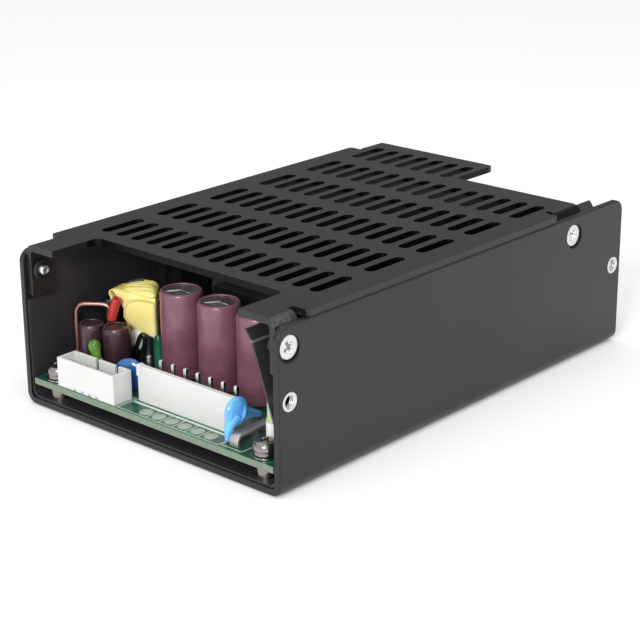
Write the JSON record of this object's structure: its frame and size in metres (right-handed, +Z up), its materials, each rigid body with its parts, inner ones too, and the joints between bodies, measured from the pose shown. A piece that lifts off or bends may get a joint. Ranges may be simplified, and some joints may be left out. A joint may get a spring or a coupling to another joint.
{
  "type": "open frame power supply",
  "caption": "Power supply in a black sheet metal channel with a slotted cover, open at the output end over a circuit board with headers, capacitors and a taped transformer.",
  "frame": {"origin": "middle of the underside", "axes": "+Z up through the slotted cover, +Y from the open output end towards the input end, +X to the right seen from the output end"},
  "size_m": [0.0826, 0.127, 0.0395],
  "materials": {
    "channel_paint": "satin black powder coat",
    "cover_paint": "satin black powder coat",
    "film_black": "smooth black insulating film",
    "board_green": "green solder mask",
    "nickel_steel": "nickel plated",
    "header_nylon": "moulded natural white",
    "tinned_brass": "bright tin plate",
    "can_aluminium": "plain can",
    "sleeve_maroon": "glossy shrink sleeve",
    "sleeve_plum": "glossy shrink sleeve",
    "lamp_green": "tinted lens",
    "lamp_pale": "pale lens",
    "spacer_white": "moulded",
    "disc_sky": "dipped enamel",
    "disc_navy": "dipped enamel",
    "tape_yellow": "polyester tape",
    "tape_black": "black polyester tape",
    "ferrite": "sintered, matt",
    "bobbin_black": "moulded",
    "copper": "bare copper, dulled",
    "tube_red": "sleeving",
    "sink_aluminium": "plain",
    "epoxy_black": "moulded epoxy",
    "box_yellow": "moulded box",
    "ceramic_white": "ceramic tube"
  },
  "bodies": {
    "root": {"chassis": "channel_paint", "cover": "cover_paint", "insulation_film": "film_black", "circuit_board": "board_green", "board_standoffs": "nickel_steel", "board_screws": "nickel_steel", "board_flat_washers": "nickel_steel", "board_spring_washers": "nickel_steel", "cover_screws": "nickel_steel", "cover_clinch_nuts": "nickel_steel", "side_inserts": "nickel_steel", "output_header": "header_nylon", "output_header_pins": "tinned_brass", "signal_header": "header_nylon", "signal_header_pins": "tinned_brass", "input_header": "header_nylon", "input_header_pins": "tinned_brass", "output_capacitor_cans": "can_aluminium", "output_capacitor_sleeves": "sleeve_maroon", "bypass_capacitor_cans": "can_aluminium", "bypass_capacitor_sleeves": "sleeve_plum", "bulk_capacitor_can": "can_aluminium", "bulk_capacitor_sleeve": "sleeve_plum", "start_capacitor": "epoxy_black", "signal_lamp": "lamp_green", "signal_lamp_leads": "tinned_brass", "output_lamp": "lamp_pale", "lamp_spacer": "spacer_white", "bright_disc_capacitor": "disc_sky", "bright_disc_leads": "tinned_brass", "dark_disc_capacitor": "disc_navy", "output_strap": "tinned_brass", "auxiliary_winding": "tape_yellow", "auxiliary_core": "ferrite", "auxiliary_bobbin": "bobbin_black", "copper_link": "copper", "winding_lead": "copper", "lead_tube": "tube_red", "power_transformer_core": "ferrite", "power_transformer_winding": "tape_black", "power_transformer_bobbin": "bobbin_black", "primary_heatsink": "sink_aluminium", "secondary_heatsink": "sink_aluminium", "primary_devices": "epoxy_black", "secondary_devices": "epoxy_black", "boost_choke": "copper", "boost_choke_foot": "bobbin_black", "output_choke": "copper", "output_choke_foot": "bobbin_black", "filter_choke": "copper", "filter_choke_foot": "bobbin_black", "film_capacitors": "box_yellow", "fuse_tube": "ceramic_white", "fuse_caps": "nickel_steel", "varistor": "disc_navy", "thermistor": "epoxy_black", "safety_capacitors": "disc_navy", "control_board": "board_green", "control_packages": "epoxy_black"}
  },
  "joints": []
}
